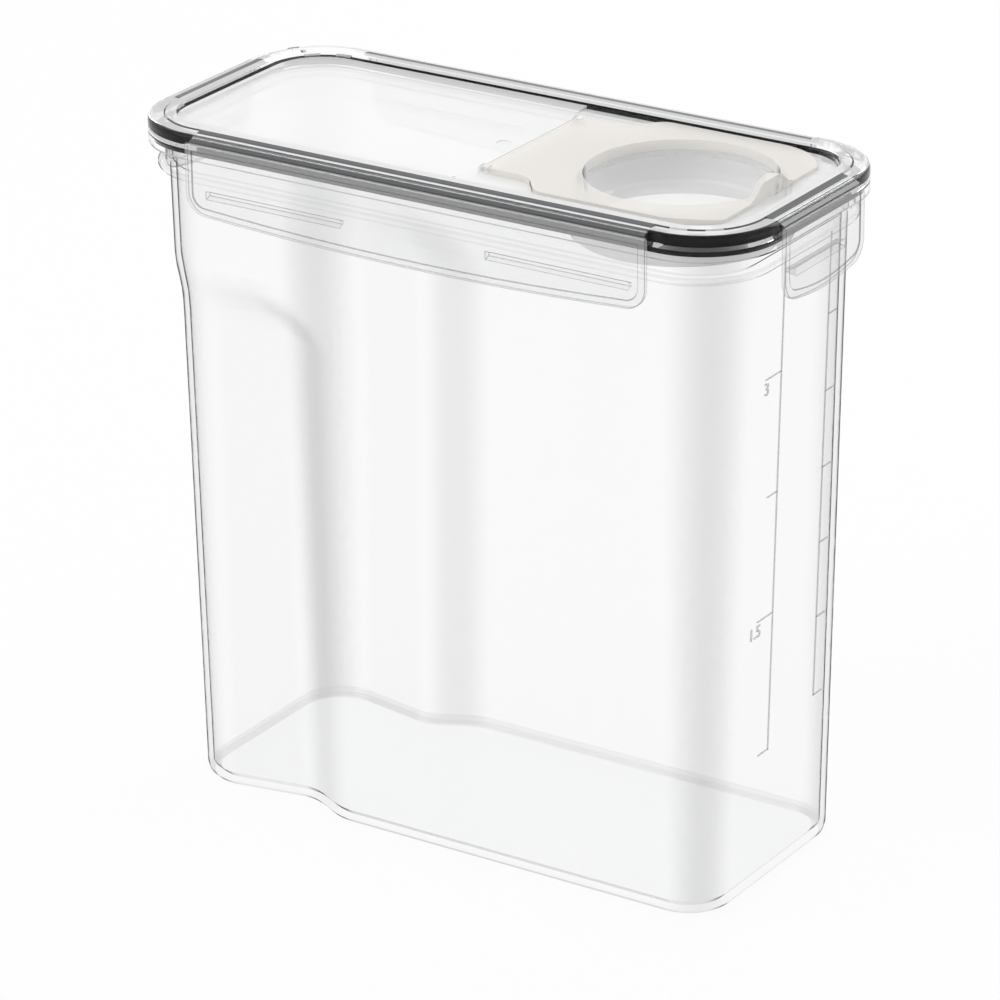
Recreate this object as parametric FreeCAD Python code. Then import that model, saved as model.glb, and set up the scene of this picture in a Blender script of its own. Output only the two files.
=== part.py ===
import FreeCAD, Part
import math
import os

os.makedirs("parts", exist_ok=True)
V = FreeCAD.Vector

# Overall size in millimetres. The pour cap is toward +X, the front is toward -Y.
# The height is to the top of the lift lip, the length and depth are over the flaps.
LENGTH = 243.0
DEPTH = 112.0
HEIGHT = 247.0

# Lid: a raised rim, a skirt outside the tub, and a flat deck inside the rim
LIFT_LIP = 4.7
LID_RADIUS = 28.0
SKIRT_HEIGHT = 9.2
SKIRT_WALL = 1.8
SHOULDER_DROP = 0.4
SHOULDER_WIDTH = 5.4
SHOULDER_STEP = 0.6
EDGE_ROUND = 1.6
RIM_SLOPE = 1.0
RIM_FOOT = 0.6
DECK_DROP = 2.7
DISH = 1.0
DISH_RUN = 8.0
DISH_END = 6.0
PANEL = 2.0
ROOF_DROP = 2.4
CHANNEL_CUT = 3.4
CHANNEL_CUT_RUN = 4.4
PLUG_WALL = 1.6
PLUG_HEIGHT = 8.5
GATE_RADIUS = 2.4
GATE_DEPTH = 0.4

# Gasket: a band under the roof of the channel with a leg outside the tub's rim
GASKET = 2.4
GASKET_HANG = 2.6
GASKET_PLAY = 0.1
GASKET_LEG = 1.8

# Tub: a rim that stands in the lid's channel, a tapered wall, and the grip
LEG_CLEAR = 0.6
PLUG_CLEAR = 0.6
END_EXTRA = 1.5
RIM_CORNER = 4.0
COLLAR_HEIGHT = 13.2
LIP_HEIGHT = 2.8
LIP_REACH = 2.6
LIP_ROUND = 0.8
WALL = 2.0
FLOOR = 2.4
WALL_IN_END = 1.2
WALL_IN_SIDE = 0.6
WALL_RADIUS = 24.0
TAPER_END = 6.1
TAPER_SIDE = 3.2
FOOT_RADIUS = 17.2
FOOT_ROUND = 4.6
GRIP_DEPTH = 7.4
GRIP_LENGTH = 85.5
GRIP_RISE = 27.0
GRIP_DROP = 31.0
GRIP_FADE = 22.0
GRIP_LEAN = 16.0
GRIP_FLARE = 0.175
GRIP_PULL = 0.42

# Latches: a fixed strip on the lid's shoulder, and a flap that turns on a round bead
FLAP = 1.6
FLAP_SUNK = 0.4
FLAP_GAP = 0.8
FLAP_BORDER = 2.6
FLAP_DROP = 26.2
FLAP_BOW = 3.0
FLAP_CORNER = 7.5
LONG_FLAP_IN = 30.6
SHORT_FLAP_IN = 28.6
HINGE_DROP = 3.1
HINGE_GAP = 0.35
STRIP_SHORT = 1.0
STRIP = 0.9
STRIP_CROWN = 0.45
RIB_UNDER = 0.4
RIB_ROOT = 2.8
RIB_TIP = 1.4
RIB_CLEAR = 0.35
LONG_RIB = 53.5
LONG_RIB_IN = 7.0
SHORT_RIB_IN = 9.0

# Flip cap: a plate on the deck with a hinge barrel, a plug cup and a lift lip
CAP_CLEAR = 0.3
CAP_PLATE = 1.9
CAP_EDGE = 2.8
CAP_CORNER = 24.0
CAP_FRONT_IN = 17.5
TONGUE_IN = 10.7
TONGUE = 14.0
WING_RUN = 16.0
FALL_RUN = 7.1
FALL = 1.1
HINGE_BACK = 57.0
BARREL = 1.05
PIN = 0.7
PIN_FIT = 0.1
EAR = 2.6
EAR_HALF = 1.7
EAR_OVER = 1.3
EAR_CUT = 0.9
EAR_GAP = 0.35
EAR_SIDE = 0.5
HOLE_IN = 9.0
PLUG_PLAY = 0.7
WELL_TAPER = 1.6
WELL_DEPTH = 14.0
WELL_WALL = 1.5
WELL_FRONT = 0.3
WELL_ROUND = 2.0
COLLAR_WALL = 1.6
COLLAR_DEPTH = 17.3
SEAL_DROP = 1.6
SEAL_HEIGHT = 2.6
SEAL_GAP = 0.4
LIP_HALF = 16.0
LIP_THICK = 2.2
LIP_EDGE = 0.9

# Heights that follow from the ones above, from the top down
RIM_TOP = HEIGHT - LIFT_LIP
SHOULDER = RIM_TOP - SHOULDER_DROP
DECK = RIM_TOP - DECK_DROP
CAP_UNDER = DECK + CAP_CLEAR
CAP_TOP = CAP_UNDER + CAP_PLATE
CAP_AXIS_Z = CAP_UNDER + BARREL
EAR_TOP = CAP_AXIS_Z + EAR_OVER
SEAL_TOP = CAP_UNDER - SEAL_DROP
COLLAR_BOTTOM = DECK - COLLAR_DEPTH
HINGE_Z = RIM_TOP - HINGE_DROP
FLAP_BOTTOM = HINGE_Z - FLAP_DROP
SKIRT_BOTTOM = RIM_TOP - SKIRT_HEIGHT
PLUG_BOTTOM = RIM_TOP - PLUG_HEIGHT
CHANNEL_ROOF = RIM_TOP - ROOF_DROP
SEAT = CHANNEL_ROOF - GASKET
GASKET_BOTTOM = SEAT - GASKET_HANG
WALL_TOP = SEAT - COLLAR_HEIGHT
LIP_TOP = WALL_TOP + LIP_HEIGHT
RIB_TOP = WALL_TOP - RIB_UNDER
GRIP_TOP = WALL_TOP - GRIP_DROP

# Plan sizes that follow, from the flaps inward. Names with IN are distances from the lid's edge.
LID_LENGTH = LENGTH - 2 * (FLAP + FLAP_GAP)
LID_DEPTH = DEPTH - 2 * (FLAP + FLAP_GAP)
RIM_IN_SIDE = SKIRT_WALL + GASKET_PLAY + GASKET_LEG + LEG_CLEAR
RIM_IN_END = RIM_IN_SIDE + END_EXTRA
CHANNEL_IN = RIM_IN_END + WALL + PLUG_CLEAR
PLUG_IN = CHANNEL_IN + PLUG_WALL
PANEL_IN = PLUG_IN + RIM_FOOT
STRIP_INNER = SHOULDER_WIDTH + SHOULDER_STEP
RIM_LENGTH = LID_LENGTH - 2 * RIM_IN_END
RIM_DEPTH = LID_DEPTH - 2 * RIM_IN_SIDE
RIM_RADIUS = LID_RADIUS - RIM_CORNER
RIM_LEDGE = WALL_IN_END + WALL + WALL_IN_SIDE / 2
WALL_LENGTH = RIM_LENGTH - 2 * WALL_IN_END
WALL_DEPTH = RIM_DEPTH - 2 * WALL_IN_SIDE
FOOT_LENGTH = WALL_LENGTH - 2 * TAPER_END
FOOT_DEPTH = WALL_DEPTH - 2 * TAPER_SIDE
GRIP_START = GRIP_LENGTH - LENGTH / 2
LONG_FLAP = LID_LENGTH - 2 * LONG_FLAP_IN
SHORT_FLAP = LID_DEPTH - 2 * SHORT_FLAP_IN
LONG_RIB_PLACE = (LONG_FLAP - LONG_RIB) / 2 - LONG_RIB_IN
SHORT_RIB = SHORT_FLAP - 2 * SHORT_RIB_IN
CAP_HALF = LID_DEPTH / 2 - PANEL_IN - CAP_EDGE
CAP_FRONT = LID_LENGTH / 2 - CAP_FRONT_IN
TONGUE_HALF = CAP_HALF - TONGUE_IN
HOLE_RADIUS = LID_DEPTH / 2 - PANEL_IN - HOLE_IN
WELL_RADIUS = HOLE_RADIUS - PLUG_PLAY - WELL_WALL
WELL_X = CAP_FRONT - WELL_FRONT - WELL_WALL - WELL_RADIUS
CAP_AXIS_X = WELL_X - HINGE_BACK
TONGUE_END = CAP_AXIS_X + TONGUE
WING_START = TONGUE_END + WING_RUN
FALL_START = CAP_FRONT - FALL_RUN


def segment(x0, y0, x1, y1, z):
    return Part.makeLine(V(x0, y0, z), V(x1, y1, z))


def corner(cx, cy, radius, start, z):
    """A quarter circle of an outline, counter-clockwise from the start angle in degrees."""
    points = []
    for turn in (0, 45, 90):
        a = math.radians(start + turn)
        points.append(V(cx + radius * math.cos(a), cy + radius * math.sin(a), z))
    return Part.Arc(points[0], points[1], points[2]).toShape()


def outline(length, depth, radius, z):
    """A rounded rectangle that starts at the middle of its front side."""
    x = length / 2
    y = depth / 2
    cx = x - radius
    cy = y - radius
    edges = [segment(0, -y, cx, -y, z)]
    edges.append(corner(cx, -cy, radius, 270, z))
    edges.append(segment(x, -cy, x, cy, z))
    edges.append(corner(cx, cy, radius, 0, z))
    edges.append(segment(cx, y, -cx, y, z))
    edges.append(corner(-cx, cy, radius, 90, z))
    edges.append(segment(-x, cy, -x, -cy, z))
    edges.append(corner(-cx, -cy, radius, 180, z))
    edges.append(segment(-cx, -y, 0, -y, z))
    return Part.Wire(edges)


def slab(length, depth, radius, low, high):
    return Part.Face(outline(length, depth, radius, low)).extrude(V(0, 0, high - low))


def lid_slab(inward, low, high):
    """A slab that follows the lid's outer edge at an inward distance."""
    return slab(LID_LENGTH - 2 * inward, LID_DEPTH - 2 * inward, LID_RADIUS - inward, low, high)


def eased(points):
    """A closed wire through corner points, each eased by a number of flats to its own radius."""
    corners = []
    for i in range(len(points)):
        p, radius, flats = points[i]
        if flats == 0:
            corners.append(p)
            continue
        back = (points[i - 1][0] - p).normalize()
        ahead = (points[(i + 1) % len(points)][0] - p).normalize()
        half = back.getAngle(ahead) / 2
        reach = radius / math.tan(half)
        centre = p + (back + ahead).normalize() * (radius / math.sin(half))
        start = p + back * reach - centre
        end = p + ahead * reach - centre
        for i_flat in range(flats + 1):
            spoke = start * (flats - i_flat) + end * i_flat
            corners.append(centre + spoke.normalize() * radius)
    return Part.makePolygon(corners + [corners[0]])


def around(length, depth, radius, points):
    """Sweep a profile of inward distance, height, radius and flats along a rounded rectangle."""
    corners = []
    for inward, z, radius_here, flats in points:
        corners.append((V(0, inward - depth / 2, z), radius_here, flats))
    path = outline(length, depth, radius, points[0][1])
    return path.makePipeShell([eased(corners)], True, False)


def block(x0, y0, z0, x1, y1, z1):
    return Part.makeBox(x1 - x0, y1 - y0, z1 - z0, V(x0, y0, z0))


def cross_rod(x, z, radius, y0, y1):
    return Part.makeCylinder(radius, y1 - y0, V(x, y0, z), V(0, 1, 0))


def smooth(t):
    t = min(1.0, max(0.0, t))
    return t * t * (3 - 2 * t)


def save(shape, name):
    shape = shape.removeSplitter()
    if len(shape.Solids) == 1:
        shape = shape.Solids[0]
    shape.exportStep("parts/" + name + ".step")
    print(name, len(shape.Solids), shape.isValid(), round(shape.Volume))


# Tub wall, drawn as level sections from foot to rim. Each long side bends in for the grip,
# which is deepest beside the full wall and flares out again toward the end face.
def grip_side(hl, hw, radius, z, side):
    fade = smooth((GRIP_TOP - z) / GRIP_FADE)
    x0 = GRIP_START - GRIP_LEAN * (1 - fade)
    x1 = x0 - GRIP_RISE
    low = hw - GRIP_DEPTH * fade
    flare = GRIP_FLARE * fade
    slant = math.sqrt(1 + flare ** 2)
    cx = radius - hl
    cy = low + flare * (x1 - cx) - radius * slant
    meet = V(cx + radius * flare / slant, side * (cy + radius / slant), z)
    half = (math.pi / 2 + math.atan(flare)) / 2
    way = math.pi - half
    middle = V(cx + radius * math.cos(way), side * (cy + radius * math.sin(way)), z)
    end = V(-hl, side * cy, z)
    wall = V(x0, side * hw, z)
    dip = V(x1, side * low, z)
    bend = Part.BezierCurve()
    pull = GRIP_RISE * GRIP_PULL
    bend.setPoles([wall, wall - V(pull, 0, 0), dip + V(pull, -side * pull * flare, 0), dip])
    edges = [bend.toShape(), Part.makeLine(dip, meet), Part.Arc(meet, middle, end).toShape()]
    return wall, edges, end


def wall_section(z, inset):
    t = z / WALL_TOP
    hl = (FOOT_LENGTH + (WALL_LENGTH - FOOT_LENGTH) * t) / 2 - inset
    hw = (FOOT_DEPTH + (WALL_DEPTH - FOOT_DEPTH) * t) / 2 - inset
    radius = FOOT_RADIUS + (WALL_RADIUS - FOOT_RADIUS) * t - inset
    cx = hl - radius
    cy = hw - radius
    rear_wall, rear, rear_end = grip_side(hl, hw, radius, z, 1)
    front_wall, front, front_end = grip_side(hl, hw, radius, z, -1)
    edges = [segment(hl, -cy, hl, cy, z)]
    edges.append(corner(cx, cy, radius, 0, z))
    edges.append(Part.makeLine(V(cx, hw, z), rear_wall))
    edges = edges + rear
    edges.append(Part.makeLine(rear_end, front_end))
    edges = edges + front[::-1]
    edges.append(Part.makeLine(front_wall, V(cx, -hw, z)))
    edges.append(corner(cx, -cy, radius, 270, z))
    return Part.Wire(Part.__sortEdges__(edges))


def wall_form(inset, bottom, foot_round, toe_bands, roof_bands):
    """Straight walls below and above, with the toe and the roof of the grip as bands between."""
    start = GRIP_TOP - GRIP_FADE
    roof_levels = []
    for i in range(roof_bands + 1):
        roof_levels.append(wall_section(start + GRIP_FADE * i / roof_bands, inset))
    toe_levels = []
    for i in range(toe_bands + 1):
        a = math.pi / 2 * i / toe_bands
        level = bottom + foot_round * (1 - math.cos(a))
        toe_levels.append(wall_section(level, inset + foot_round * (1 - math.sin(a))))
    toe = Part.makeLoft(toe_levels, True, True)
    foot = Part.makeLoft([toe_levels[-1], roof_levels[0]], True, True)
    roof = Part.makeLoft(roof_levels, True, True)
    head = Part.makeLoft([roof_levels[-1], wall_section(WALL_TOP, inset)], True, True)
    return toe.fuse([foot, roof, head])


outer = wall_form(0.0, 0.0, FOOT_ROUND, 3, 5)
inner = wall_form(WALL, FLOOR, FOOT_ROUND - WALL, 1, 3)
rim = around(RIM_LENGTH, RIM_DEPTH, RIM_RADIUS, [
    (RIM_LEDGE, WALL_TOP, 0, 0),
    (-LIP_REACH, WALL_TOP, LIP_ROUND, 1),
    (-LIP_REACH, LIP_TOP, LIP_ROUND, 1),
    (0, LIP_TOP, 0, 0),
    (0, SEAT, 0, 0),
    (WALL, SEAT, 0, 0),
    (WALL, LIP_TOP, 0, 0),
    (RIM_LEDGE, LIP_TOP - RIM_LEDGE + WALL, 0, 0),
])
tub = outer.cut(inner).fuse(rim)
save(tub, "tub")

# Lid, swept around the rim, with the deck across it
shell = around(LID_LENGTH, LID_DEPTH, LID_RADIUS, [
    (0, SKIRT_BOTTOM, 0, 0),
    (0, SHOULDER, EDGE_ROUND, 2),
    (SHOULDER_WIDTH, SHOULDER, 0, 0),
    (SHOULDER_WIDTH + SHOULDER_STEP, RIM_TOP, 0, 0),
    (PANEL_IN - RIM_SLOPE, RIM_TOP, 0, 0),
    (PANEL_IN, DECK, 0, 0),
    (PANEL_IN + PANEL, DECK, 0, 0),
    (PANEL_IN + PANEL, DECK - PANEL, 0, 0),
    (PLUG_IN, DECK - PANEL, 0, 0),
    (PLUG_IN, PLUG_BOTTOM, 0, 0),
    (CHANNEL_IN, PLUG_BOTTOM, 0, 0),
    (CHANNEL_IN, CHANNEL_ROOF, 0, 0),
    (SKIRT_WALL + CHANNEL_CUT_RUN, CHANNEL_ROOF, 0, 0),
    (SKIRT_WALL, CHANNEL_ROOF - CHANNEL_CUT, 0, 0),
    (SKIRT_WALL, SKIRT_BOTTOM, 0, 0),
])
deck = lid_slab(PANEL_IN + PANEL / 2, DECK - PANEL, DECK)
well_axis = V(WELL_X, 0, COLLAR_BOTTOM)
up = V(0, 0, 1)
collar = Part.makeCylinder(HOLE_RADIUS + COLLAR_WALL, DECK - COLLAR_BOTTOM, well_axis, up)
hole = Part.makeCylinder(HOLE_RADIUS, DECK - COLLAR_BOTTOM + 2, well_axis - up, up)
ears = []
for side in (-1, 1):
    near = side * (TONGUE_HALF - EAR)
    far = side * TONGUE_HALF
    ear = block(CAP_AXIS_X - EAR_HALF, min(near, far), DECK - PANEL / 2,
                CAP_AXIS_X + EAR_HALF, max(near, far), EAR_TOP)
    tops = [e for e in ear.Edges if e.BoundBox.ZMin > EAR_TOP - 0.01 and e.BoundBox.YLength > EAR / 2]
    ears.append(ear.makeChamfer(EAR_CUT, tops))
dish_top = PANEL_IN - RIM_SLOPE * DISH / DECK_DROP
dish = around(LID_LENGTH, LID_DEPTH, LID_RADIUS, [
    (PANEL_IN - RIM_SLOPE, DECK - PANEL / 2, 0, 0),
    (PANEL_IN - RIM_SLOPE, DECK + DISH, 0, 0),
    (dish_top, DECK + DISH, 0, 0),
    (PANEL_IN + DISH_RUN, DECK, 0, 0),
    (PANEL_IN + DISH_RUN, DECK - PANEL / 2, 0, 0),
])
dish = dish.cut(block(CAP_AXIS_X - DISH_END, -DEPTH, 0, LENGTH, DEPTH, HEIGHT))
lid = shell.fuse([deck, collar, dish] + ears)
lid = lid.cut(hole)
lid = lid.cut(cross_rod(CAP_AXIS_X, CAP_AXIS_Z, PIN + PIN_FIT, -TONGUE_HALF - 1, TONGUE_HALF + 1))
gate = Part.makeCylinder(GATE_RADIUS, GATE_DEPTH + 1, V(0, 0, DECK - GATE_DEPTH), up)
lid = lid.cut(gate)

# Gasket, in the channel of the lid, seated on the tub's rim
leg = SKIRT_WALL + GASKET_PLAY + GASKET_LEG
gasket = around(LID_LENGTH, LID_DEPTH, LID_RADIUS, [
    (SKIRT_WALL + GASKET_PLAY, GASKET_BOTTOM, 0, 0),
    (SKIRT_WALL + GASKET_PLAY, CHANNEL_ROOF - CHANNEL_CUT - GASKET_PLAY, 0, 0),
    (SKIRT_WALL + CHANNEL_CUT_RUN + GASKET_PLAY, CHANNEL_ROOF, 0, 0),
    (CHANNEL_IN - GASKET_PLAY, CHANNEL_ROOF, 0, 0),
    (CHANNEL_IN - GASKET_PLAY, SEAT, 0, 0),
    (leg, SEAT, 0, 0),
    (leg, GASKET_BOTTOM, 0, 0),
])
save(gasket, "lid_gasket")


# Latch parts are drawn on the front side at a given reach and then turned to their own side
def strip_part(half, reach):
    """The fixed leaf, a crowned strip with a round groove that faces the bead of the flap."""
    axis = FLAP / 2 - reach
    face = FLAP + FLAP_GAP - reach
    groove = FLAP / 2 + HINGE_GAP
    arc = []
    for turn in (65, 20, -25):
        a = math.radians(turn)
        arc.append(V(-half, axis + groove * math.cos(a), HINGE_Z + groove * math.sin(a)))
    inner_top = V(-half, face + STRIP_INNER, RIM_TOP)
    inner_low = V(-half, face + STRIP_INNER, RIM_TOP - STRIP)
    crown = (inner_top + arc[0]) * 0.5 + V(0, 0, STRIP_CROWN)
    edges = [Part.Arc(inner_top, crown, arc[0]).toShape()]
    edges.append(Part.Arc(arc[0], arc[1], arc[2]).toShape())
    edges.append(Part.makeLine(arc[2], inner_low))
    edges.append(Part.makeLine(inner_low, inner_top))
    return Part.Face(Part.Wire(edges)).extrude(V(2 * half, 0, 0))


def flap_panel(half, low, bow, radius, top, y, thick):
    """A panel with a bowed lower edge and two round corners."""
    left = V(-half, y, low + bow)
    right = V(half, y, low + bow)
    edges = [Part.makeLine(V(-half, y, top), left)]
    edges.append(Part.Arc(left, V(0, y, low), right).toShape())
    edges.append(Part.makeLine(right, V(half, y, top)))
    edges.append(Part.makeLine(V(half, y, top), V(-half, y, top)))
    panel = Part.Face(Part.Wire(edges)).extrude(V(0, thick, 0))
    ends = []
    for e in panel.Edges:
        box = e.BoundBox
        if box.YLength > thick - 0.01 and box.ZLength < 0.01 and box.ZMax < low + bow + 0.01:
            ends.append(e)
    return panel.makeFillet(radius, ends)


def flap_part(half, reach, flange, ribs):
    """The turning leaf, with a raised border outside and lock ribs inside."""
    flap = flap_panel(half, FLAP_BOTTOM, FLAP_BOW, FLAP_CORNER, HINGE_Z, -reach, FLAP)
    bead = Part.makeCylinder(FLAP / 2, 2 * half, V(-half, FLAP / 2 - reach, HINGE_Z), V(1, 0, 0))
    field = flap_panel(half - FLAP_BORDER, FLAP_BOTTOM + FLAP_BORDER, FLAP_BOW,
                       FLAP_CORNER - FLAP_BORDER, HINGE_Z - FLAP, -reach - 1, FLAP_SUNK + 1)
    flap = flap.cut(field).fuse(bead)
    root = FLAP - FLAP_SUNK / 2 - reach
    tip = -flange - RIB_CLEAR
    for place, length in ribs:
        middle = RIB_TOP - RIB_ROOT / 2
        profile = [V(place - length / 2, root, middle + RIB_ROOT / 2)]
        profile.append(V(place - length / 2, tip, middle + RIB_TIP / 2))
        profile.append(V(place - length / 2, tip, middle - RIB_TIP / 2))
        profile.append(V(place - length / 2, root, middle - RIB_ROOT / 2))
        rib = Part.Face(Part.makePolygon(profile + [profile[0]])).extrude(V(length, 0, 0))
        flap = flap.fuse(rib)
    return flap


long_ribs = [(-LONG_RIB_PLACE, LONG_RIB), (LONG_RIB_PLACE, LONG_RIB)]
short_ribs = [(0, SHORT_RIB)]
long_flange = RIM_DEPTH / 2 + LIP_REACH
short_flange = RIM_LENGTH / 2 + LIP_REACH
for name, turn in (("front", 0), ("right", 90), ("rear", 180), ("left", 270)):
    if name in ("front", "rear"):
        half = LONG_FLAP / 2
        reach = DEPTH / 2
        flap = flap_part(half, reach, long_flange, long_ribs)
    else:
        half = SHORT_FLAP / 2
        reach = LENGTH / 2
        flap = flap_part(half, reach, short_flange, short_ribs)
    strip = strip_part(half - STRIP_SHORT, reach)
    strip.rotate(V(0, 0, 0), up, turn)
    flap.rotate(V(0, 0, 0), up, turn)
    lid = lid.cut(strip)
    save(strip, name + "_hinge_strip")
    save(flap, name + "_flap")
save(lid, "lid_shell")

# Flip cap. Its plate follows the inner edge of the rim and narrows to a tongue at the hinge.
bend = CAP_CORNER
bend_x = LID_LENGTH / 2 - PANEL_IN - CAP_EDGE - CAP_CORNER
bend_y = CAP_HALF - CAP_CORNER
front_y = bend_y + math.sqrt(bend ** 2 - (CAP_FRONT - bend_x) ** 2)
middle_x = bend_x + bend * math.sin(math.asin((CAP_FRONT - bend_x) / bend) / 2)
middle_y = bend_y + bend * math.cos(math.asin((CAP_FRONT - bend_x) / bend) / 2)
halves = []
for side in (-1, 1):
    half = (TONGUE_END + WING_START) / 2
    poles = [V(TONGUE_END, side * TONGUE_HALF, CAP_UNDER)]
    poles.append(V(half, side * TONGUE_HALF, CAP_UNDER))
    poles.append(V(half, side * CAP_HALF, CAP_UNDER))
    poles.append(V(WING_START, side * CAP_HALF, CAP_UNDER))
    sweep = Part.BezierCurve()
    sweep.setPoles(poles)
    edges = [segment(CAP_AXIS_X, 0, CAP_AXIS_X, side * TONGUE_HALF, CAP_UNDER)]
    edges.append(segment(CAP_AXIS_X, side * TONGUE_HALF, TONGUE_END, side * TONGUE_HALF, CAP_UNDER))
    edges.append(sweep.toShape())
    edges.append(segment(WING_START, side * CAP_HALF, bend_x, side * CAP_HALF, CAP_UNDER))
    turn = Part.Arc(V(bend_x, side * CAP_HALF, CAP_UNDER), V(middle_x, side * middle_y, CAP_UNDER),
                    V(CAP_FRONT, side * front_y, CAP_UNDER))
    edges.append(turn.toShape())
    edges.append(segment(CAP_FRONT, side * front_y, CAP_FRONT, 0, CAP_UNDER))
    edges.append(segment(CAP_FRONT, 0, CAP_AXIS_X, 0, CAP_UNDER))
    halves.append(Part.Face(Part.Wire(Part.__sortEdges__(edges))).extrude(V(0, 0, CAP_PLATE)))
plate = halves[0].fuse(halves[1]).removeSplitter()
fall = [V(FALL_START, -DEPTH / 2, CAP_TOP)]
fall.append(V(CAP_FRONT + 1, -DEPTH / 2, CAP_TOP - FALL))
fall.append(V(CAP_FRONT + 1, -DEPTH / 2, CAP_TOP + 1))
fall.append(V(FALL_START, -DEPTH / 2, CAP_TOP + 1))
plate = plate.cut(Part.Face(Part.makePolygon(fall + [fall[0]])).extrude(V(0, DEPTH, 0)))
ear_inner = TONGUE_HALF - EAR - EAR_GAP
ear_clear = CAP_AXIS_X + EAR_HALF + EAR_SIDE
for side in (-1, 1):
    low = min(side * ear_inner, side * DEPTH / 2)
    high = max(side * ear_inner, side * DEPTH / 2)
    plate = plate.cut(block(CAP_AXIS_X - TONGUE, low, CAP_UNDER - 1, ear_clear, high, CAP_TOP + 1))

# The lift lip is a bell-shaped upstand on the front edge of the plate
lip_base = CAP_TOP - FALL
lip_rise = (HEIGHT - lip_base) / 2
lip_back = CAP_FRONT - LIP_THICK


def bell_point(share, rise):
    return V(lip_back, LIP_HALF * share, lip_base + lip_rise * rise)


edges = [Part.Arc(bell_point(-1, 0), bell_point(-0.72, 0.28), bell_point(-0.5, 1)).toShape()]
edges.append(Part.Arc(bell_point(-0.5, 1), bell_point(0, 2), bell_point(0.5, 1)).toShape())
edges.append(Part.Arc(bell_point(0.5, 1), bell_point(0.72, 0.28), bell_point(1, 0)).toShape())
base = V(0, 0, CAP_UNDER - lip_base)
edges.append(Part.makeLine(bell_point(1, 0), bell_point(1, 0) + base))
edges.append(Part.makeLine(bell_point(1, 0) + base, bell_point(-1, 0) + base))
edges.append(Part.makeLine(bell_point(-1, 0) + base, bell_point(-1, 0)))
lip = Part.Face(Part.Wire(edges)).extrude(V(LIP_THICK, 0, 0))
shave = [V(lip_back + LIP_EDGE, -LIP_HALF, HEIGHT)]
shave.append(V(CAP_FRONT + 1, -LIP_HALF, HEIGHT))
shave.append(V(CAP_FRONT + 1, -LIP_HALF, HEIGHT - LIP_THICK))
lip = lip.cut(Part.Face(Part.makePolygon(shave + [shave[0]])).extrude(V(0, 2 * LIP_HALF, 0)))

# The plug cup hangs from the plate and narrows downward, so that it swings out of its hole
cup_floor = CAP_TOP - WELL_DEPTH
cup_under = cup_floor - WELL_WALL
low_radius = WELL_RADIUS - WELL_TAPER
skin = [(V(WELL_X, 0, cup_under), 0, 0)]
skin.append((V(WELL_X + low_radius + WELL_WALL, 0, cup_under), WELL_ROUND, 1))
skin.append((V(WELL_X + WELL_RADIUS + WELL_WALL, 0, CAP_UNDER + CAP_PLATE / 2), 0, 0))
skin.append((V(WELL_X, 0, CAP_UNDER + CAP_PLATE / 2), 0, 0))
void = [(V(WELL_X, 0, cup_floor), 0, 0)]
void.append((V(WELL_X + low_radius, 0, cup_floor), WELL_ROUND - WELL_WALL / 2, 1))
void.append((V(WELL_X + WELL_RADIUS, 0, CAP_TOP), 0, 0))
void.append((V(WELL_X + WELL_RADIUS, 0, HEIGHT + 1), 0, 0))
void.append((V(WELL_X, 0, HEIGHT + 1), 0, 0))
cup = Part.Face(eased(skin)).revolve(V(WELL_X, 0, 0), up, 360)
void = Part.Face(eased(void)).revolve(V(WELL_X, 0, 0), up, 360)
barrel = cross_rod(CAP_AXIS_X, CAP_AXIS_Z, BARREL, -ear_inner, ear_inner)
pin = cross_rod(CAP_AXIS_X, CAP_AXIS_Z, PIN, -TONGUE_HALF, TONGUE_HALF)
cap = plate.fuse([lip, cup, barrel, pin])
cap = cap.cut(void)
save(cap, "flip_cap")

# Seal ring, stretched over the plug just under the plate
wall_slope = WELL_TAPER / (CAP_UNDER + CAP_PLATE / 2 - cup_under)
seal_low = SEAL_TOP - SEAL_HEIGHT
cup_high = WELL_RADIUS + WELL_WALL - wall_slope * (CAP_UNDER + CAP_PLATE / 2 - SEAL_TOP)
cup_low = WELL_RADIUS + WELL_WALL - wall_slope * (CAP_UNDER + CAP_PLATE / 2 - seal_low)
seal_out = HOLE_RADIUS - SEAL_GAP
ring = [V(WELL_X + cup_low, 0, seal_low)]
ring.append(V(WELL_X + seal_out, 0, seal_low + SEAL_GAP))
ring.append(V(WELL_X + seal_out, 0, SEAL_TOP))
ring.append(V(WELL_X + cup_high, 0, SEAL_TOP))
seal = Part.Face(Part.makePolygon(ring + [ring[0]])).revolve(V(WELL_X, 0, 0), up, 360)
save(seal, "spout_seal")
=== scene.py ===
import math

import bpy
from mathutils import Matrix, Quaternion, Vector


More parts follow.
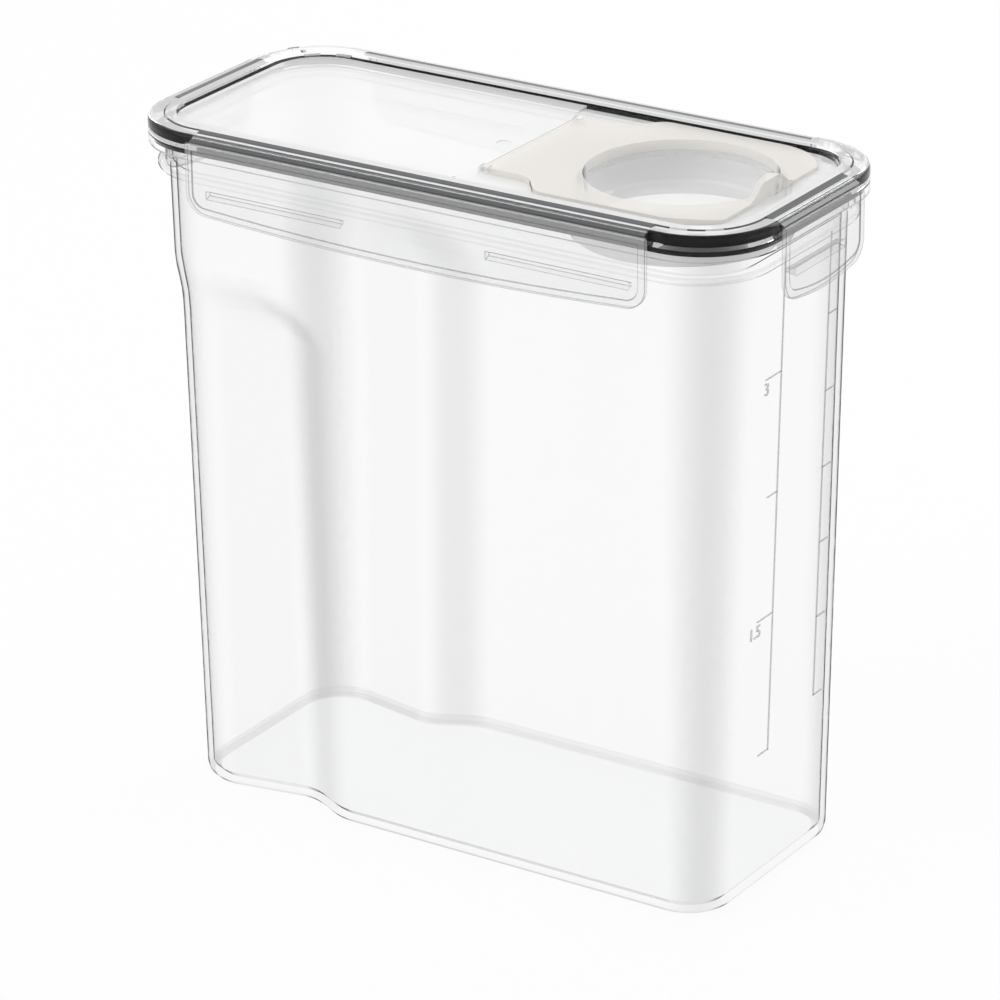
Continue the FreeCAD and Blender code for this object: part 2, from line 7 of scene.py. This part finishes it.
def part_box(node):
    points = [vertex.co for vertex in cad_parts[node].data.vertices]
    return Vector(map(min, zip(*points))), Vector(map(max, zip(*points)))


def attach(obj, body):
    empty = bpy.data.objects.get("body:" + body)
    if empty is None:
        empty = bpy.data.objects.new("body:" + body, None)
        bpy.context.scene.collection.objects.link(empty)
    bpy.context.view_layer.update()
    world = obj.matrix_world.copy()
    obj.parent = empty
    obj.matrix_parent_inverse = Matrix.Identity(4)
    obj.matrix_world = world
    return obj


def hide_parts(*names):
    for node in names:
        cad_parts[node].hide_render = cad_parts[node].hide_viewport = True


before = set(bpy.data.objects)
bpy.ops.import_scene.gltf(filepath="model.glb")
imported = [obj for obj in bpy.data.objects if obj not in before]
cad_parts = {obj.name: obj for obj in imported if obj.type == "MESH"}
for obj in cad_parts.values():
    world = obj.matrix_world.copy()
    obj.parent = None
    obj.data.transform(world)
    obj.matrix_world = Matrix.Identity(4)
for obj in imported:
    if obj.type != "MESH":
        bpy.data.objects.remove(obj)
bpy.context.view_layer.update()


# Tub: one tall moulding with a grip hollow in each long side, a rounded foot and a rim bead.
# It is injection moulded in clear plastic about two millimetres thick, so its faces hardly show,
# and painted shade draws its bends as soft grey lines.
class Value:
    """A socket of a node tree, with arithmetic that adds Math nodes."""

    def __init__(self, tree, socket):
        self.tree = tree
        self.socket = socket

    def node(self, kind, settings, inputs, output=0):
        """Add a node, set it up, fill its inputs with values or links, and return one output."""
        made = self.tree.nodes.new(kind)
        for key, setting in settings.items():
            setattr(made, key, setting)
        for key, given in inputs.items():
            if isinstance(given, Value):
                self.tree.links.new(given.socket, made.inputs[key])
            else:
                made.inputs[key].default_value = given
        return Value(self.tree, made.outputs[output])

    def maths(self, operation, first, second):
        """Add a Math node for two values."""
        return self.node("ShaderNodeMath", {"operation": operation}, {0: first, 1: second})

    def __add__(self, other):
        return self.maths("ADD", self, other)

    def __radd__(self, other):
        return self.maths("ADD", other, self)

    def __sub__(self, other):
        return self.maths("SUBTRACT", self, other)

    def __rsub__(self, other):
        return self.maths("SUBTRACT", other, self)

    def __mul__(self, other):
        return self.maths("MULTIPLY", self, other)

    def __rmul__(self, other):
        return self.maths("MULTIPLY", other, self)

    def __pow__(self, other):
        return self.maths("POWER", self, other)


def new_finish(name):
    """An empty material, its node tree as a Value, its output node and object coordinates."""
    made = bpy.data.materials.new(name)
    made.use_nodes = True
    made.node_tree.nodes.clear()
    start = Value(made.node_tree, None)
    end = made.node_tree.nodes.new("ShaderNodeOutputMaterial")
    place = start.node("ShaderNodeTexCoord", {}, {}, "Object")
    return made, start, end, place


def copy_of_node(node, name, body, smooth_angle, finish, softening=0.0, edge_shade_finish=None):
    """A merged copy of a solid that stands for it, softly shaded below an angle in degrees.

    Softening is the width of a rounding on sharp edges, which then wear the edge shade finish.
    """
    bpy.ops.object.select_all(action="DESELECT")
    piece = bpy.data.objects.new(name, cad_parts[node].data.copy())
    bpy.context.scene.collection.objects.link(piece)
    piece.select_set(True)
    bpy.context.view_layer.objects.active = piece
    bpy.ops.mesh.customdata_custom_splitnormals_clear()
    bpy.ops.object.mode_set(mode="EDIT")
    bpy.ops.mesh.select_all(action="SELECT")
    bpy.ops.mesh.remove_doubles(threshold=0.000005)
    bpy.ops.mesh.dissolve_limited(angle_limit=math.radians(0.05))
    bpy.ops.object.mode_set(mode="OBJECT")
    piece.data.materials.clear()
    piece.data.materials.append(finish)
    if softening:
        piece.data.materials.append(edge_shade_finish)
        bpy.ops.object.modifier_add(type="BEVEL")
        rounding = piece.modifiers[-1]
        rounding.width = softening
        rounding.segments = 3
        rounding.limit_method = "ANGLE"
        rounding.angle_limit = math.radians(40)
        rounding.material = 1
        bpy.ops.object.modifier_apply(modifier=rounding.name)
    bpy.ops.object.shade_smooth_by_angle(angle=math.radians(smooth_angle))
    bpy.ops.object.modifier_add(type="WEIGHTED_NORMAL")
    shading = piece.modifiers[-1]
    shading.keep_sharp = True
    shading.weight = 80
    bpy.ops.object.modifier_apply(modifier=shading.name)
    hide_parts(node)
    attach(piece, body)
    return piece


def see_through_finish(name, tint, milk, haze, shade_colour, edge, grazing, mirror, roughness, ripple,
                       bends=0.0):
    """Clear moulded plastic: light goes straight through, and grazed bends wear painted shade.

    Tint colours what is seen through it, milk and haze are the colour and share of its cloudiness,
    and shade_colour, edge and grazing are the colour, share and range of the painted shade at low
    angles, which stands in for the dark edges of clear plastic. Mirror and roughness set its gloss,
    ripple its waviness, and bends adds painted shade on skin that faces no axis.
    """
    made, start, end, place = new_finish(name)
    slow = start.node("ShaderNodeTexNoise", {}, {"Vector": place, "Scale": 28.0, "Detail": 1.0})
    rubbed = start.node("ShaderNodeTexNoise", {}, {"Vector": place, "Scale": 160.0, "Detail": 4.0})
    bump = start.node("ShaderNodeBump", {}, {"Height": slow, "Strength": ripple, "Distance": 0.001})
    facing = start.node("ShaderNodeLayerWeight", {}, {"Blend": 0.5, "Normal": bump}, "Facing")
    grazed = start.node("ShaderNodeMapRange", {"interpolation_type": "SMOOTHSTEP"}, {
        "Value": facing, "From Min": grazing[0], "From Max": grazing[1]})
    # Painted shade: a dark share that grows where the skin is seen at a low angle.
    dark = edge * grazed
    if bends:
        turned = start.node("ShaderNodeTexCoord", {}, {}, "Normal")
        straight = 0
        for axis in ("X", "Y", "Z"):
            share = start.node("ShaderNodeSeparateXYZ", {}, {"Vector": turned}, axis)
            squared = share * share
            straight = squared * squared + straight
        dark = dark + bends * (1 - straight)
    clear = start.node("ShaderNodeBsdfTransparent", {}, {"Color": tint})
    cloudy = start.node("ShaderNodeBsdfPrincipled", {}, {
        "Base Color": milk, "Roughness": 0.4, "Normal": bump})
    # The dark colour of the painted shade.
    painted_shade = start.node("ShaderNodeBsdfPrincipled", {}, {
        "Base Color": shade_colour, "Roughness": 0.3, "Specular IOR Level": 0.0, "Normal": bump})
    gloss = start.node("ShaderNodeBsdfPrincipled", {}, {
        "Base Color": (1, 1, 1, 1), "Metallic": 1.0, "Roughness": roughness + 0.04 * rubbed,
        "Normal": bump})
    shader = start.node("ShaderNodeMixShader", {}, {"Fac": haze, 1: clear, 2: cloudy})
    shader = start.node("ShaderNodeMixShader", {}, {"Fac": dark, 1: shader, 2: painted_shade})
    shader = start.node("ShaderNodeMixShader", {}, {
        "Fac": mirror + 0.06 * facing ** 6.0, 1: shader, 2: gloss})
    made.node_tree.links.new(shader.socket, end.inputs["Surface"])
    return made


tub_plastic = see_through_finish(
    "clear_plastic", tint=(0.992, 0.993, 0.992, 1), milk=(0.8, 0.81, 0.81, 1), haze=0.015,
    shade_colour=(0.03, 0.03, 0.033, 1), edge=0.96, grazing=(0.74, 0.97), mirror=0.008, roughness=0.02,
    ripple=0.01, bends=0.22)
tub = copy_of_node("tub", "tub_moulding", "container", 25, tub_plastic)
# The tub's flat floor wears a like plastic, a touch cloudier, with less painted shade at low angles
# and none on bends.
foot_plastic = see_through_finish(
    "foot_plastic", tint=(0.985, 0.986, 0.987, 1), milk=(0.8, 0.81, 0.82, 1), haze=0.03,
    shade_colour=(0.03, 0.03, 0.033, 1), edge=0.6, grazing=(0.6, 1.1), mirror=0.012, roughness=0.02,
    ripple=0.01)
tub.data.materials.append(foot_plastic)
foot_top = 0.02
for face in tub.data.polygons:
    if abs(face.normal.z) > 0.95 and face.center.z < foot_top:
        face.material_index = 1

# Fill scale: two fine upright lines with level ticks and two plain numbers on the end wall.
# It is moulded with the tub's clear plastic, proud of the wall by a fraction of a millimetre.
foot_end = 0.1060
end_lean = 0.0061 / 0.2243
proud = 0.00025
line_width = 0.00045
half_width = line_width / 2
scale_top = 0.2235
first_line_y = -0.009
first_foot = 0.050
first_ticks = ((0.185, 0.010), (0.143, 0.0065), (0.100, 0.010), (0.0503, 0.0065))
second_line_y = 0.0205
second_foot = 0.058
second_ticks = (0.0583, 0.087, 0.114, 0.141, 0.168, 0.195)
second_reach = 0.0055
digit_size = 0.0062
digit_inset = 0.0075


def wall_bar(y_low, y_high, z_low, z_high):
    """A fine bar on the end wall, with softened edges and its back inside the wall."""
    bpy.ops.object.select_all(action="DESELECT")
    bpy.ops.mesh.primitive_cube_add(size=1.0)
    bar = bpy.context.object
    bpy.ops.object.mode_set(mode="EDIT")
    bpy.ops.mesh.select_all(action="SELECT")
    bpy.ops.transform.resize(value=(2 * proud, y_high - y_low, z_high - z_low))
    bpy.ops.mesh.bevel(offset=0.4 * proud, segments=2, affect="EDGES")
    bpy.ops.transform.translate(value=(foot_end, (y_low + y_high) / 2, (z_low + z_high) / 2))
    bpy.ops.object.mode_set(mode="OBJECT")
    return bar


scale_bars = [
    wall_bar(first_line_y - half_width, first_line_y + half_width, first_foot, scale_top)]
for height, reach in first_ticks:
    scale_bars.append(
        wall_bar(first_line_y - reach, first_line_y, height - half_width, height + half_width))
scale_bars.append(
    wall_bar(second_line_y - half_width, second_line_y + half_width, second_foot, scale_top))
for height in second_ticks:
    scale_bars.append(wall_bar(second_line_y, second_line_y + second_reach,
                               height - half_width, height + half_width))
for number, height in (("3", 0.1795), ("1.5", 0.0945)):
    bpy.ops.object.select_all(action="DESELECT")
    bpy.ops.object.text_add()
    digits = bpy.context.object
    digits.data.body = number
    digits.data.size = digit_size
    digits.data.extrude = proud
    digits.data.align_x = "RIGHT"
    bpy.ops.object.convert(target="MESH")
    digits.rotation_euler = (math.radians(90), 0, math.radians(90))
    digits.location = (foot_end, first_line_y - digit_inset, height)
    bpy.ops.object.transform_apply(location=True, rotation=True, scale=True)
    scale_bars.append(digits)
bpy.ops.object.select_all(action="DESELECT")
for bar in scale_bars:
    bar.select_set(True)
bpy.context.view_layer.objects.active = scale_bars[0]
bpy.ops.object.join()
fill_scale = bpy.context.object
fill_scale.name = "fill_scale"
for point in fill_scale.data.vertices:
    point.co.x += end_lean * point.co.z
# The marks are drawn half clear grey: painted shade for the light that bends at the moulded marks.
made, start, end, place = new_finish("scale_plastic")
grain = start.node("ShaderNodeTexNoise", {}, {"Vector": place, "Scale": 700.0, "Detail": 2.0})
clear = start.node("ShaderNodeBsdfTransparent", {}, {"Color": (0.95, 0.95, 0.95, 1)})
shader = start.node("ShaderNodeBsdfPrincipled", {}, {
    "Base Color": (0.3, 0.3, 0.31, 1), "Roughness": 0.3 + 0.2 * grain})
shader = start.node("ShaderNodeMixShader", {}, {"Fac": 0.22 + 0.12 * grain, 1: clear, 2: shader})
made.node_tree.links.new(shader.socket, end.inputs["Surface"])
fill_scale.data.materials.append(made)
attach(fill_scale, "container")

# Lid: a clear plastic moulding with a raised rim, a skirt outside the tub and a flat deck.
# It is thicker at the rim, where it bends what is behind it like a lens. The deck is a little
# cloudy. It rests on the tub through the gasket and is held by the latches.
made, start, end, place = new_finish("rim_plastic")
rubbed = start.node("ShaderNodeTexNoise", {}, {"Vector": place, "Scale": 160.0, "Detail": 4.0})
glass = start.node("ShaderNodeBsdfPrincipled", {}, {
    "Base Color": (0.992, 0.994, 0.994, 1), "Roughness": 0.03 * rubbed, "IOR": 1.49,
    "Transmission Weight": 1.0, "Specular Tint": (0.15, 0.15, 0.155, 1)})
shadowed = start.node("ShaderNodeLightPath", {}, {}, "Is Shadow Ray")
clear = start.node("ShaderNodeBsdfTransparent", {}, {"Color": (0.97, 0.97, 0.97, 1)})
mixed = start.node("ShaderNodeMixShader", {}, {"Fac": shadowed, 1: glass, 2: clear})
made.node_tree.links.new(mixed.socket, end.inputs["Surface"])
lid = copy_of_node("lid_shell", "lid_moulding", "lid", 50, made)
deck_plastic = see_through_finish(
    "deck_plastic", tint=(0.995, 0.996, 0.996, 1), milk=(0.95, 0.95, 0.95, 1), haze=0.6,
    shade_colour=(0.05, 0.05, 0.055, 1), edge=0.9, grazing=(0.68, 0.95), mirror=0.01, roughness=0.02,
    ripple=0.005)
lid.data.materials.append(deck_plastic)
lid_corner = 0.028
rim_width = 0.0107
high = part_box("lid_shell")[1]
corner_x = high[0] - lid_corner
corner_y = high[1] - lid_corner
for face in lid.data.polygons:
    across = max(abs(face.center.x) - corner_x, 0)
    along = max(abs(face.center.y) - corner_y, 0)
    if math.hypot(across, along) < lid_corner - rim_width:
        face.material_index = 1

# Gasket: a moulded band of black silicone, pressed up into the lid's channel.
# It is drawn a touch fatter than its solid, since squeezed silicone wets the plastic around it.
gasket_squeeze = 0.00012
made, start, end, place = new_finish("black_silicone")
grain = start.node("ShaderNodeTexNoise", {}, {"Vector": place, "Scale": 900.0, "Detail": 3.0})
bump = start.node("ShaderNodeBump", {}, {"Height": grain, "Strength": 0.1, "Distance": 0.0002})
shader = start.node("ShaderNodeBsdfPrincipled", {}, {
    "Base Color": (0.003, 0.003, 0.0035, 1), "Roughness": 0.25 + 0.15 * grain, "Normal": bump,
    "Specular IOR Level": 0.15})
made.node_tree.links.new(shader.socket, end.inputs["Surface"])
copy_of_node("lid_gasket", "gasket_band", "lid", 40, made)
bpy.ops.object.mode_set(mode="EDIT")
bpy.ops.mesh.select_all(action="SELECT")
bpy.ops.transform.shrink_fatten(value=gasket_squeeze)
bpy.ops.object.mode_set(mode="OBJECT")

# Glints: two short pale bars at each corner of the lid, under its raised border.
# They are painted highlights, seen through the lid as light dashes on the gasket's black band.
glint_inner = 0.0202
glint_outer = 0.0222
glint_low = 0.2398
glint_high = 0.24035
glint_turn = 16
# A pale grey for the painted highlights.
made, start, end, place = new_finish("painted_glint")
cloud = start.node("ShaderNodeTexNoise", {}, {"Vector": place, "Scale": 400.0, "Detail": 2.0})
shader = start.node("ShaderNodeBsdfPrincipled", {}, {
    "Base Color": (0.62, 0.63, 0.64, 1), "Roughness": 0.35 + 0.15 * cloud})
made.node_tree.links.new(shader.socket, end.inputs["Surface"])
bpy.ops.object.select_all(action="DESELECT")
bpy.ops.mesh.primitive_plane_add(size=1.0)
pattern = bpy.context.object
bpy.ops.object.mode_set(mode="EDIT")
bpy.ops.mesh.select_all(action="SELECT")
bpy.ops.transform.resize(value=(glint_outer - glint_inner, glint_high - glint_low, 1))
bpy.ops.transform.rotate(value=math.radians(90), orient_axis="X", center_override=(0, 0, 0))
bpy.ops.transform.translate(value=((glint_inner + glint_outer) / 2, 0, (glint_low + glint_high) / 2))
bpy.ops.mesh.spin(steps=8, angle=math.radians(glint_turn), center=(0, 0, 0), axis=(0, 0, 1))
bpy.ops.mesh.select_all(action="SELECT")
bpy.ops.mesh.remove_doubles(threshold=0.000005)
bpy.ops.mesh.normals_make_consistent(inside=False)
bpy.ops.object.mode_set(mode="OBJECT")
pattern.data.materials.append(made)
for name, side_x, side_y, begin in (("near_right", 1, -1, 270), ("far_right", 1, 1, 0),
                                    ("far_left", -1, 1, 90), ("near_left", -1, -1, 180)):
    for order, turn in (("a", 18), ("b", 50)):
        glint = bpy.data.objects.new("glint_bar_" + name + "_" + order, pattern.data.copy())
        bpy.context.scene.collection.objects.link(glint)
        glint.data.transform(Matrix.Translation((side_x * corner_x, side_y * corner_y, 0))
                           @ Matrix.Rotation(math.radians(begin + turn), 4, "Z"))
        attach(glint, "lid")
bpy.data.objects.remove(pattern)

# Latches: four moulded flaps of frosted plastic, each hinged to a smoky strip on the lid's shoulder.
# A flap snaps under the tub's flange. Its rounded edges wear painted shade, a dark grey that
# draws its outline.
strip_plastic = see_through_finish(
    "strip_plastic", tint=(0.7, 0.71, 0.72, 1), milk=(0.06, 0.064, 0.07, 1), haze=0.75,
    shade_colour=(0.3, 0.3, 0.31, 1), edge=0.3, grazing=(0.6, 0.95), mirror=0.05, roughness=0.1,
    ripple=0.02)
frosted_plastic = see_through_finish(
    "frosted_plastic", tint=(0.98, 0.981, 0.982, 1), milk=(0.85, 0.853, 0.856, 1), haze=0.16,
    shade_colour=(0.2, 0.2, 0.205, 1), edge=0.4, grazing=(0.5, 0.95), mirror=0.04, roughness=0.1,
    ripple=0.02)
# The flaps' rounded edges: a darker, cloudier grey copy of the frosted plastic, as painted shade.
flap_edge_shade = see_through_finish(
    "flap_edge_shade", tint=(0.85, 0.852, 0.855, 1), milk=(0.13, 0.133, 0.137, 1), haze=0.55,
    shade_colour=(0.05, 0.05, 0.052, 1), edge=0.7, grazing=(0.5, 0.9), mirror=0.05, roughness=0.1,
    ripple=0.02)
flap_rounding = 0.00042
for side in ("front", "rear", "left", "right"):
    copy_of_node(side + "_hinge_strip", side + "_strip", "lid", 35,
                 strip_plastic)
    copy_of_node(side + "_flap", side + "_latch_flap", side + "_latch", 60,
                 frosted_plastic, flap_rounding, flap_edge_shade)

# Flip cap: a moulded plate of clear plastic with a faint cream tint and a round plug cup.
# It turns on two pins in ears on the lid, and the cup looks whiter than the plate.
cap_plastic = see_through_finish(
    "cap_plastic", tint=(0.985, 0.978, 0.965, 1), milk=(0.95, 0.925, 0.89, 1), haze=0.5,
    shade_colour=(0.12, 0.115, 0.11, 1), edge=0.85, grazing=(0.68, 0.92), mirror=0.012, roughness=0.05,
    ripple=0.004)
cap = copy_of_node("flip_cap", "flip_cap_moulding", "cap", 40, cap_plastic)
cup_plastic = see_through_finish(
    "cup_plastic", tint=(0.99, 0.99, 0.99, 1), milk=(0.95, 0.95, 0.95, 1), haze=0.25,
    shade_colour=(0.2, 0.2, 0.2, 1), edge=0.7, grazing=(0.7, 0.95), mirror=0.012, roughness=0.05,
    ripple=0.004)
cap.data.materials.append(cup_plastic)
cup_x = 0.068
cup_radius = 0.0335
plate_bottom = 0.2395
for face in cap.data.polygons:
    inside = math.hypot(face.center.x - cup_x, face.center.y) < cup_radius
    if inside and face.center.z < plate_bottom:
        face.material_index = 1

# Seal: a moulded ring of pale, half clear silicone.
# It is stretched onto the plug of the flip cap and closes the pour hole.
made, start, end, place = new_finish("pale_silicone")
cloud = start.node("ShaderNodeTexNoise", {}, {"Vector": place, "Scale": 300.0, "Detail": 2.0})
shader = start.node("ShaderNodeBsdfPrincipled", {}, {
    "Base Color": (0.9, 0.9, 0.89, 1), "Roughness": 0.35 + 0.15 * cloud})
clear = start.node("ShaderNodeBsdfTransparent", {}, {"Color": (0.98, 0.98, 0.975, 1)})
shader = start.node("ShaderNodeMixShader", {}, {"Fac": 0.2 + 0.1 * cloud, 1: clear, 2: shader})
made.node_tree.links.new(shader.socket, end.inputs["Surface"])
copy_of_node("spout_seal", "spout_seal_ring", "cap", 40, made)

# Studio: a wide pale floor, a white surround and two soft lamps.
# The camera, glass and gloss see the surround as white, and other rays get a plain level of light.
bpy.ops.object.select_all(action="DESELECT")
bpy.ops.mesh.primitive_plane_add(size=12.0, location=(0, 0, -0.0002))
floor = bpy.context.object
floor.name = "studio_floor"
made, start, end, place = new_finish("pale_floor")
seen = start.node("ShaderNodeLightPath", {}, {}, "Is Camera Ray")
through = start.node("ShaderNodeLightPath", {}, {}, "Is Transmission Ray")
mirrored = start.node("ShaderNodeLightPath", {}, {}, "Is Glossy Ray")
white = start.node("ShaderNodeEmission", {}, {"Color": (1, 1, 1, 1), "Strength": 1.0})
paper = start.node("ShaderNodeBsdfDiffuse", {}, {"Color": (0.86, 0.86, 0.86, 1)})
anyray = seen.maths("MAXIMUM", seen, through)
anyray = anyray.maths("MAXIMUM", anyray, mirrored)
mixed = start.node("ShaderNodeMixShader", {}, {"Fac": anyray * 0.9, 1: paper, 2: white})
made.node_tree.links.new(mixed.socket, end.inputs["Surface"])
floor.data.materials.append(made)

world = bpy.data.worlds.new("studio")
bpy.context.scene.world = world
world.use_nodes = True
world.node_tree.nodes.clear()
start = Value(world.node_tree, None)
end = world.node_tree.nodes.new("ShaderNodeOutputWorld")
seen = start.node("ShaderNodeLightPath", {}, {}, "Is Camera Ray")
through = start.node("ShaderNodeLightPath", {}, {}, "Is Transmission Ray")
mirrored = start.node("ShaderNodeLightPath", {}, {}, "Is Glossy Ray")
anyray = seen.maths("MAXIMUM", seen, through)
anyray = anyray.maths("MAXIMUM", anyray, mirrored)
soft = start.node("ShaderNodeBackground", {}, {"Color": (0.75, 0.75, 0.75, 1), "Strength": 1.0})
white = start.node("ShaderNodeBackground", {}, {"Color": (1, 1, 1, 1), "Strength": 1.0})
mixed = start.node("ShaderNodeMixShader", {}, {"Fac": anyray, 1: soft, 2: white})
world.node_tree.links.new(mixed.socket, end.inputs["Surface"])


def softbox(name, place, aim, width, height, watts):
    """A rectangular area lamp at a place, turned to its aim."""
    lamp = bpy.data.lights.new(name, "AREA")
    lamp.shape = "RECTANGLE"
    lamp.size = width
    lamp.size_y = height
    lamp.energy = watts
    holder = bpy.data.objects.new(name, lamp)
    bpy.context.scene.collection.objects.link(holder)
    holder.location = place
    holder.rotation_euler = (Vector(aim) - Vector(place)).to_track_quat("-Z", "Y").to_euler()


softbox("key_softbox", (-1.2, -1.2, 1.6), (0, 0, 0.1), 0.9, 1.2, 16)
softbox("rear_softbox", (0.4, 1.6, 1.2), (0, 0, 0.1), 1.6, 0.8, 12)
bpy.context.scene.cycles.max_bounces = 24
bpy.context.scene.cycles.transmission_bounces = 24
bpy.context.scene.cycles.transparent_max_bounces = 32

# Camera: fitted to the photograph with the overall box as its scale, with no shift.
azimuth = math.radians(33.209)
elevation = math.radians(22.821)
roll = math.radians(-0.621)
distance = 1.80018
focal_pixels = 5339.87
picture_pixels = 1000
aim = Vector((-0.002943, 0, 0.111787))
back = Vector((math.sin(azimuth) * math.cos(elevation), -math.cos(azimuth) * math.cos(elevation),
               math.sin(elevation)))
lens = bpy.data.cameras.new("photo_camera")
lens.sensor_width = 36.0
lens.lens = focal_pixels * lens.sensor_width / picture_pixels
camera = bpy.data.objects.new("photo_camera", lens)
bpy.context.scene.collection.objects.link(camera)
camera.rotation_mode = "QUATERNION"
camera.location = aim + back * distance
camera.rotation_quaternion = (-back).to_track_quat("-Z", "Y") @ Quaternion((0, 0, 1), roll)
bpy.context.scene.camera = camera
bpy.context.scene.view_settings.view_transform = "Standard"
